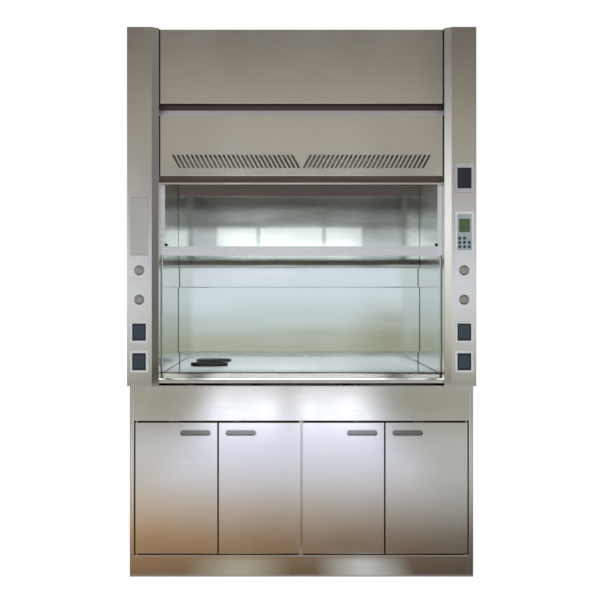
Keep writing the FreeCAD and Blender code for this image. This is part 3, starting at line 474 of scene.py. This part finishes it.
def strip_steel(name):
    """Panel steel whose slanted head is matt grey, a painted highlight of the light that bevel catches, with
    painted shade round the slots.
    """
    made = panel_sheet(name)
    tree, shader = made[1:]
    low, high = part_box("lower_fascia")
    place = place_on(tree)
    head = between(tree, place["Z"], high.z - strip_height, high.z + endless, soft=0.0008)
    feed(tree, shader, {"Metallic": outside(tree, head)})
    recolour(made, head, strip_highlight_colour)
    return recolour(made, slot_shade_rims(tree, place, low.z + slot_foot, high.x), gap_shade_colour)


def sash_steel(name):
    """Sash aluminium with lighter stiles."""
    made = steel(name, (0.66, 0.67, 0.67), 0.26, (3.0, 300.0, 700.0), unevenness=0.03)
    tree, shader = made[1:]
    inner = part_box("sash_glass")[1].x - stile_inset
    stile = outside(tree, between(tree, place_on(tree)["X"], -inner, inner, soft=0.001))
    feed(tree, shader, {"Metallic": ranged(tree, stile, 0.0, 1.0, 1.0, stile_metal)})
    return recolour(made, stile, stile_colour)


def seamed_liner(name, roughness, axis, low, high):
    """Liner steel with a dark sealed joint outside a range along one axis."""
    made = liner_sheet(name, roughness)
    tree = made[1]
    inner = between(tree, place_on(tree)[axis], low, high, soft=0.0005)
    return recolour(made, outside(tree, inner), joint_colour)


def baffle_steel(name):
    """Liner steel with a painted reflection of the sash's bottom rail: a dark wavy band along the foot of
    the upper baffle.
    """
    made = liner_sheet(name)
    tree = made[1]
    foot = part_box("upper_baffle")[0].z
    swing = spread(tree, noise(tree, (3.0, 3.0, 0.1), 1.0), -band_swing, band_swing)
    level = calculate(tree, "ADD", place_on(tree)["Z"], swing)
    rail_reflection = between(tree, level, foot + band_low, foot + band_high, soft=0.005)
    return recolour(made, rail_reflection, rail_reflection_colour)


def edged_sill(name):
    """Sill steel with a painted shade line, of wavy width, along its rear edge, where it meets the worktop.
    """
    made = steel(name, sill_colour, 0.20, (3.0, 700.0, 700.0))
    tree = made[1]
    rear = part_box("airfoil_sill")[1].y
    swing = spread(tree, noise(tree, (2.5, 0.1, 0.1), 1.0), -shade_line_swing, shade_line_swing)
    depth = calculate(tree, "ADD", place_on(tree)["Y"], swing)
    shade_line = between(tree, depth, rear - shade_line_depth, rear + endless, soft=0.0015)
    return recolour(made, shade_line, shade_line_colour)


def sash_pane(name):
    """Clear safety glass that lets light through to the chamber."""
    made = new_material(name)
    tree, shader = made[1:]
    feed(tree, shader, {
        "Base Color": glass_colour,
        "Transmission Weight": 1.0,
        "IOR": glass_index,
        "Roughness": spread(tree, noise(tree, (1.5, 1.5, 1.0), 4.0), 0.0, 0.03),
    })
    clear = add(tree, "BsdfTransparent", {"Color": glass_shadow})
    shadow = add(tree, "LightPath").outputs["Is Shadow Ray"]
    mix = add(tree, "MixShader", {0: shadow, 1: shader.outputs["BSDF"], 2: clear.outputs["BSDF"]})
    output = [node for node in tree.nodes if node.type == "OUTPUT_MATERIAL"][0]
    feed(tree, output, {"Surface": mix.outputs[0]})
    return made


def opal_pane(name):
    """White diffusing pane of the lamp, which is on."""
    made = new_material(name)
    tree, shader = made[1:]
    cloud = noise(tree, (6.0, 6.0, 6.0), 4.0)
    feed(tree, shader, {
        "Emission Color": lamp_colour,
        "Emission Strength": lamp_glow,
        "Base Color": shaded(tree, (0.86, 0.88, 0.87), cloud, 0.03),
        "Roughness": spread(tree, cloud, 0.35, 0.5),
    })
    return made


def screen(name, colour, roughness):
    """Smooth dark or tinted display."""
    made = new_material(name)
    tree, shader = made[1:]
    cloud = noise(tree, (40.0, 40.0, 40.0), 3.0)
    feed(tree, shader, {
        "Base Color": shaded(tree, colour, cloud, 0.08),
        "Roughness": spread(tree, cloud, roughness, roughness + 0.08),
    })
    return made


def hood_materials():
    """Each material by its name, made by a function and what that function is given."""
    worktop_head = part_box("worktop")[1].z + joint_width
    rear_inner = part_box("lower_baffle")[1].x - joint_side
    makers = {
        "panel_steel": (panel_sheet,),
        "groove_steel": (groove_steel,),
        "strip_steel": (strip_steel,),
        "liner_steel": (liner_sheet,),
        "side_liner_steel": (seamed_liner, 0.2, "Z", worktop_head, endless),
        "rear_liner_steel": (seamed_liner, 0.11, "X", -rear_inner, rear_inner),
        "baffle_steel": (baffle_steel,),
        "edged_sill": (edged_sill,),
        "base_steel": (base_sheet,),
        "apron_steel": (apron_steel,),
        "door_steel": (door_steel,),
        "frame_steel": (steel, (0.5, 0.5, 0.49), 0.40, (60.0, 60.0, 60.0)),
        "lamp_housing": (painted, (0.83, 0.83, 0.81), 0.35),
        "lamp_pane": (opal_pane,),
        "sink_plastic": (plastic, (0.012, 0.012, 0.013), 0.35),
        "guide_aluminium": (steel, (0.6, 0.6, 0.6), 0.35, (200.0, 200.0, 3.0)),
        "sash_aluminium": (sash_steel,),
        "safety_glass": (sash_pane,),
        "buffer_rubber": (plastic, (0.02, 0.02, 0.02), 0.7),
        "seal_rubber": (plastic, (0.012, 0.011, 0.010), 0.7),
        "weight_steel": (painted, (0.17, 0.18, 0.19), 0.5),
        "sheave_plastic": (plastic, (0.75, 0.74, 0.68), 0.4),
        "cable_steel": (steel, (0.45, 0.45, 0.45), 0.35, (900.0, 900.0, 300.0)),
        "cap_steel": (steel, (0.50, 0.49, 0.46), 0.55, (500.0, 500.0, 30.0)),
        "socket_frame_plastic": (plastic, (0.55, 0.57, 0.58), 0.35),
        "socket_plastic": (socket_insert,),
        "cover_plate": (steel, (0.58, 0.57, 0.53), 0.38, (500.0, 500.0, 3.0)),
        "monitor_plastic": (plastic, (0.36, 0.37, 0.38), 0.4),
        "monitor_glass": (screen, (0.006, 0.010, 0.018), 0.12),
        "controller_plastic": (controller_shell,),
        "screen_glass": (screen, (0.055, 0.080, 0.032), 0.15),
        "key_plastic": (plastic, (0.015, 0.040, 0.050), 0.4),
    }
    return {name: maker(name, *given)[0] for name, (maker, *given) in makers.items()}


def dress(frame):
    """Give each node the material of its slot, or one of its own, and return the materials."""
    materials = hood_materials()
    own = {
        "upper_fascia": "groove_steel",
        "lower_fascia": "strip_steel",
        "side_liners": "side_liner_steel",
        "rear_liner": "rear_liner_steel",
        "upper_baffle": "baffle_steel",
        "airfoil_sill": "edged_sill",
        "apron": "apron_steel",
    }
    for number in range(1, door_count + 1):
        own["door_%d" % number] = "door_steel"
    for subpart in frame["record"]["subparts"]:
        node = frame["nodes"][subpart["node"]]
        chosen = own.get(subpart["node"], subpart["material_slot"])
        for slot in node.material_slots:
            slot.material = materials[chosen]
    return materials


# Pieces that ride on the solids

def placed(name, mesh, material):
    """Object in the scene, with its mesh and material."""
    mesh.materials.append(material)
    piece = bpy.data.objects.new(name, mesh)
    bpy.context.scene.collection.objects.link(piece)
    return piece


def formed(name, form, material):
    """Object in the scene, from a form that is no longer needed."""
    mesh = bpy.data.meshes.new(name)
    form.to_mesh(mesh)
    form.free()
    return placed(name, mesh, material)


def bead(name, place, low, high, material):
    """Rubber bead with a rounded front, standing up against a panel."""
    form = bmesh.new()
    ring = []
    for number in range(seal_turns + 1):
        angle = math.pi * number / seal_turns
        ring.append((place[0] - seal_width / 2 * math.cos(angle), place[1] - seal_rise * math.sin(angle)))
    lower = [form.verts.new((x, y, low)) for x, y in ring]
    upper = [form.verts.new((x, y, high)) for x, y in ring]
    for number in range(seal_turns):
        form.faces.new((lower[number], lower[number + 1], upper[number + 1], upper[number]))
    form.faces.new((lower[-1], lower[0], upper[0], upper[-1]))
    form.faces.new(list(reversed(lower)))
    form.faces.new(upper)
    bmesh.ops.recalc_face_normals(form, faces=form.faces)
    piece = formed(name, form, material)
    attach(piece, "root")


def fascia_seals(material):
    """Rubber beads between the fascia panels and the columns, whose black also stands in for the shadow gaps
    there.
    """
    for panel, foot_gap, head_gap in (("upper_fascia", 0.0, 0.0), ("lower_fascia", seal_foot, seal_head)):
        low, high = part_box(panel)
        foot = low.z + foot_gap
        head = high.z - head_gap
        for side, x in (("left", low.x + seal_width / 2), ("right", high.x - seal_width / 2)):
            bead("seal_%s_%s" % (panel, side), (x, low.y), foot, head, material)


def strands(place, radius, height):
    """Outline of a twisted cable at a height."""
    count = strand_points * strand_count
    twist = 2 * math.pi * height / strand_pitch
    outline = []
    for number in range(count):
        angle = 2 * math.pi * number / count + twist
        reach = radius if number % strand_points == 0 else radius * strand_valley
        outline.append((place[0] + reach * math.cos(angle), place[1] + reach * math.sin(angle)))
    return outline


def cable(name, place, radius, low, high, material):
    """Twisted strand cable between two heights."""
    form = bmesh.new()
    steps = math.ceil((high - low) / strand_step)
    rings = []
    for step in range(steps + 1):
        height = low + (high - low) * step / steps
        rings.append([form.verts.new((x, y, height)) for x, y in strands(place, radius, height)])
    for lower, upper in zip(rings, rings[1:]):
        for number in range(len(lower)):
            after = (number + 1) % len(lower)
            form.faces.new((lower[number], lower[after], upper[after], upper[number]))
    form.faces.new(list(reversed(rings[0])))
    form.faces.new(rings[-1])
    piece = formed(name, form, material)
    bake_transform(piece)
    return piece


def sash_rigging(material):
    """Cable runs from the sheaves to the sash and to the weights."""
    for side, sign in (("left", -1), ("right", 1)):
        low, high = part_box("sash_cables")
        radius = (high.y - low.y) / 2
        place = (sign * (high.x - radius), (low.y + high.y) / 2)
        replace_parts(cable("sash_run_" + side, place, radius, low.z, high.z, material), "sash_cables")
        node = side + "_weight_cable"
        low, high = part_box(node)
        place = ((low.x + high.x) / 2, (low.y + high.y) / 2)
        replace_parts(cable("weight_run_" + side, place, radius, low.z, high.z, material), node)


# Stage: floor, room and light

def stage_object(name, corners, faces, material):
    """Object of the stage, which isn't part of the hood."""
    mesh = bpy.data.meshes.new(name)
    mesh.from_pydata(corners, [], faces)
    piece = placed(name, mesh, material)
    return piece


def reflected(name, corners, faces, material):
    """Object of the stage that reflections see, also through the glass, and nothing else."""
    piece = stage_object(name, corners, faces, material)
    piece.visible_camera = False
    piece.visible_diffuse = False
    piece.visible_volume_scatter = False
    piece.visible_shadow = False


def square(half, height):
    """Corners of a level square round the middle of the room."""
    return [(-half, -half, height), (half, -half, height), (half, half, height), (-half, half, height)]


def looked_at(tree):
    """One for rays from the camera, also once mirrored or passed through glass."""
    path = add(tree, "LightPath").outputs
    seen = calculate(tree, "MAXIMUM", path["Is Camera Ray"], path["Is Glossy Ray"])
    return calculate(tree, "MAXIMUM", seen, path["Is Transmission Ray"])


def floor_material():
    """White floor that keeps the hood's shadow."""
    material, tree, shader = new_material("floor_white")
    grain = noise(tree, (3.0, 3.0, 3.0), 3.0)
    feed(tree, shader, {
        "Base Color": shaded(tree, (0.9, 0.9, 0.9), grain, 0.01),
        "Roughness": 0.9,
        "Specular IOR Level": 0.0,
        "Emission Color": (1.0, 1.0, 1.0, 1.0),
        "Emission Strength": product(tree, looked_at(tree), floor_glow),
    })
    return material


def opposite_wall(tree, place):
    """Wall that is brightest a metre up and dark at its head, with a low cabinet on the right."""
    middle = colour_steps(tree, place["Z"], room_height, [
        (0.0, (0.42, 0.41, 0.32)),
        (0.6, (0.56, 0.61, 0.50)),
        (1.15, (0.90, 1.01, 1.16)),
        (1.8, (0.87, 0.92, 1.00)),
        (2.7, (0.58, 0.55, 0.49)),
        (3.3, (0.72, 0.67, 0.57)),
        (3.9, (0.37, 0.345, 0.30)),
        (4.5, (0.17, 0.155, 0.14)),
    ])
    sides = colour_steps(tree, place["Z"], room_height, [
        (0.0, (0.50, 0.48, 0.38)),
        (0.4, (0.56, 0.57, 0.47)),
        (0.8, (0.74, 0.80, 0.70)),
        (1.15, (1.38, 1.52, 1.85)),
        (1.8, (0.90, 0.94, 1.04)),
        (2.5, (0.50, 0.48, 0.42)),
        (3.3, (0.52, 0.48, 0.40)),
        (3.9, (0.28, 0.255, 0.215)),
        (4.5, (0.14, 0.125, 0.105)),
    ])
    wall = mixed(tree, between(tree, place["X"], -middle_half, middle_half, soft=0.15), sides, middle)
    across = between(tree, place["X"], cabinet_across[0], cabinet_across[1], soft=0.25)
    upright = between(tree, place["Z"], -endless, cabinet_height, soft=0.25)
    return mixed(tree, product(tree, across, upright), wall, cabinet_colour)


def side_walls(tree, place, wall):
    """Bright wall on the left and dark wall on the right, as far as they are in front of the hood."""
    left = colour_steps(tree, place["Z"], room_height, [
        (0.0, (0.45, 0.40, 0.30)),
        (0.3, (0.53, 0.48, 0.37)),
        (1.15, (0.88, 1.00, 0.86)),
        (1.9, (1.55, 1.60, 1.70)),
        (2.9, (1.50, 1.55, 1.65)),
        (3.5, (0.85, 0.90, 0.95)),
        (4.1, (0.35, 0.33, 0.31)),
        (4.7, (0.22, 0.21, 0.20)),
    ])
    right = colour_steps(tree, place["Z"], room_height, [
        (0.0, (0.16, 0.155, 0.14)),
        (1.2, (0.17, 0.175, 0.155)),
        (2.2, (0.26, 0.25, 0.26)),
        (4.4, (0.28, 0.265, 0.29)),
    ])
    beside = between(tree, place["Y"], side_front, side_rear, soft=0.3)
    on_left = calculate(tree, "LESS_THAN", place["X"], wall_margin - room_half)
    on_right = calculate(tree, "GREATER_THAN", place["X"], room_half - wall_margin)
    wall = mixed(tree, product(tree, on_left, beside), wall, left)
    return mixed(tree, product(tree, on_right, beside), wall, right)


def window_pane(tree, place):
    """One on the panes of the window, and nothing on its bars."""
    across = between(tree, place["X"], window_left, window_right, soft=0.02)
    upright = between(tree, place["Z"], window_low, window_high, soft=0.02)
    pane = product(tree, across, upright)
    for x in window_bars:
        bar = between(tree, place["X"], x - window_bar_width / 2, x + window_bar_width / 2, soft=0.01)
        pane = product(tree, pane, outside(tree, bar))
    return pane


def room_material():
    """Walls and ceiling of the room, with the window and its lintel opposite the hood."""
    material, tree, light = new_material("room_walls", "Emission")
    place = place_in_room(tree)
    wall = side_walls(tree, place, opposite_wall(tree, place))
    opposite = calculate(tree, "LESS_THAN", place["Y"], wall_margin - room_half)
    across = between(tree, place["X"], -lintel_half, lintel_half, soft=0.15)
    upright = between(tree, place["Z"], window_high, lintel_top, soft=0.04)
    wall = mixed(tree, product(tree, across, upright, opposite), wall, lintel_colour)
    ceiling = calculate(tree, "GREATER_THAN", place["Z"], room_height - ceiling_margin)
    wall = mixed(tree, ceiling, wall, plain_ceiling)
    pane = product(tree, window_pane(tree, place), opposite)
    glow = tuple(part * window_glow for part in window_tint)
    feed(tree, light, {"Color": mixed(tree, pane, wall, glow)})
    return material


def window_glare(tree, place, away):
    """Glare of the window on the floor, with a gap near its middle."""
    glare = colour_steps(tree, away, room_half, [
        (1.6, (0.27, 0.25, 0.25)),
        (2.3, (0.40, 0.41, 0.46)),
        (4.3, (0.42, 0.46, 0.57)),
        (5.0, (0.78, 0.82, 0.94)),
        (6.5, (0.90, 0.94, 1.0)),
    ])
    boosted = add(tree, "VectorMath", {0: glare, 1: (glare_boost,) * 3}, operation="MULTIPLY").outputs[0]
    across = between(tree, place["X"], glare_gap[0], glare_gap[1], soft=0.1)
    beyond = between(tree, away, glare_gap_start, endless, soft=0.3)
    return mixed(tree, product(tree, across, beyond, glare_gap_share), boosted, glare_gap_colour)


def glare_material():
    """Floor of the room: tan on the left, dark on the right, and bright where the window shines."""
    material, tree, light = new_material("room_floor", "Emission")
    place = place_in_room(tree)
    away = calculate(tree, "SUBTRACT", 0.0, place["Y"])
    left = colour_steps(tree, away, room_half, [
        (0.45, (0.36, 0.23, 0.13)),
        (0.95, (0.58, 0.36, 0.19)),
        (1.6, (0.76, 0.62, 0.46)),
        (2.3, (0.82, 0.79, 0.71)),
        (4.3, (0.88, 0.92, 0.98)),
        (5.0, (0.42, 0.38, 0.29)),
        (6.6, (0.50, 0.47, 0.37)),
    ])
    right = colour_steps(tree, away, room_half, [
        (0.45, (0.09, 0.08, 0.065)),
        (0.95, (0.16, 0.145, 0.125)),
        (1.6, (0.42, 0.42, 0.39)),
        (2.3, (0.66, 0.67, 0.65)),
        (4.3, (0.76, 0.80, 0.78)),
        (5.0, (0.34, 0.32, 0.26)),
        (6.6, (0.50, 0.49, 0.40)),
    ])
    floor = mixed(tree, ranged(tree, place["X"], -1.0, 1.0), left, right)
    across = between(tree, place["X"], window_left, window_right, soft=0.12)
    beyond = ranged(tree, away, glare_start, glare_full)
    floor = mixed(tree, product(tree, across, beyond), floor, window_glare(tree, place, away))
    near = between(tree, away, 0.0, plinth_patch_end, soft=0.03)
    for (start, end), colour in plinth_patches:
        here = between(tree, place["X"], start, end, soft=0.10)
        floor = mixed(tree, product(tree, here, near), floor, colour)
    shone = between(tree, place["X"], -shine_half, shine_half, soft=0.3)
    ahead = between(tree, away, shine_start, endless, soft=0.02)
    feed(tree, light, {"Color": mixed(tree, product(tree, shone, ahead), plain_floor, floor)})
    return material


def plain_glow(name, colour):
    """Material that glows in one colour, a little uneven."""
    material, tree, light = new_material(name, "Emission")
    feed(tree, light, {"Color": shaded(tree, colour, noise(tree, (2.0, 2.0, 2.0)), 0.04)})
    return material


def build_bench():
    """Bench card in front of the hood, in two sheets with a colour each."""
    low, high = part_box("apron")
    slope = (camera_place[2] - high.z) / (low.y - camera_place[1])
    for name, drop, colour in (("bench_shade_top", 0.0, bench_shade_top), ("bench_under", bench_thickness, bench_under)):
        near, far = [(y, high.z + slope * (y - low.y) - drop) for y in bench_range]
        card = [(-bench_half, *near), (bench_half, *near), (bench_half, *far), (-bench_half, *far)]
        reflected(name, card, [(0, 1, 2, 3)], plain_glow(name, colour))


def build_room():
    """White floor, and the room that the steel and the glass reflect."""
    level = [(0, 1, 2, 3)]
    stage_object("floor", square(floor_half, 0.0), level, floor_material())
    corners = square(room_half, room_lift) + square(room_half, room_height)
    walls = [(0, 1, 5, 4), (1, 2, 6, 5), (2, 3, 7, 6), (3, 0, 4, 7), (4, 5, 6, 7)]
    reflected("room", corners, walls, room_material())
    reflected("room_glare", square(room_half, room_lift), level, glare_material())
    build_bench()


def white_world():
    """World that is white to look at and gives a plain soft light."""
    world = bpy.data.worlds.new("studio")
    bpy.context.scene.world = world
    world.use_nodes = True
    tree = world.node_tree
    tree.nodes.clear()
    strength = ranged(tree, looked_at(tree), 0.0, 1.0, world_light, 1.0)
    light = add(tree, "Background", {"Color": (1.0, 1.0, 1.0, 1.0), "Strength": strength})
    add(tree, "OutputWorld", {"Surface": light.outputs["Background"]})
    world.cycles_visibility.glossy = False


def lamp(name, place, power):
    """Square soft lamp, not mirrored in the steel."""
    data = bpy.data.lights.new(name, "AREA")
    data.size = lamp_width
    data.energy = power
    piece = bpy.data.objects.new(name, data)
    bpy.context.scene.collection.objects.link(piece)
    piece.location = place
    way = piece.location - type(piece.location)(lamp_aim)
    piece.rotation_euler = way.to_track_quat("Z", "Y").to_euler()
    piece.visible_glossy = False


def place_camera():
    """Camera at the photographed viewpoint."""
    data = bpy.data.cameras.new("camera")
    data.lens = camera_lens
    data.shift_x, data.shift_y = camera_shift
    data.clip_end = camera_reach
    camera = bpy.data.objects.new("camera", data)
    camera.location = camera_place
    camera.rotation_euler = (math.radians(90), 0, 0)
    bpy.context.scene.collection.objects.link(camera)
    bpy.context.scene.camera = camera


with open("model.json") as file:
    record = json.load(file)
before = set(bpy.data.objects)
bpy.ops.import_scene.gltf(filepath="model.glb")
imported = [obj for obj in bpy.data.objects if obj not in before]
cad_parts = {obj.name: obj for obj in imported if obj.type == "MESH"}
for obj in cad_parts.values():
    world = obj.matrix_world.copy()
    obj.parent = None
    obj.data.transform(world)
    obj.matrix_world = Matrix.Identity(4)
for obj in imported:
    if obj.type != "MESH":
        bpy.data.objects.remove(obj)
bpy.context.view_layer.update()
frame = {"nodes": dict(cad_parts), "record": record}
place_camera()
white_world()
build_room()
lamp("key_lamp", key_place, key_power)
lamp("fill_lamp", fill_place, fill_power)
materials = dress(frame)
fascia_seals(materials["seal_rubber"])
sash_rigging(materials["cable_steel"])
bpy.context.scene.view_settings.view_transform = "Standard"
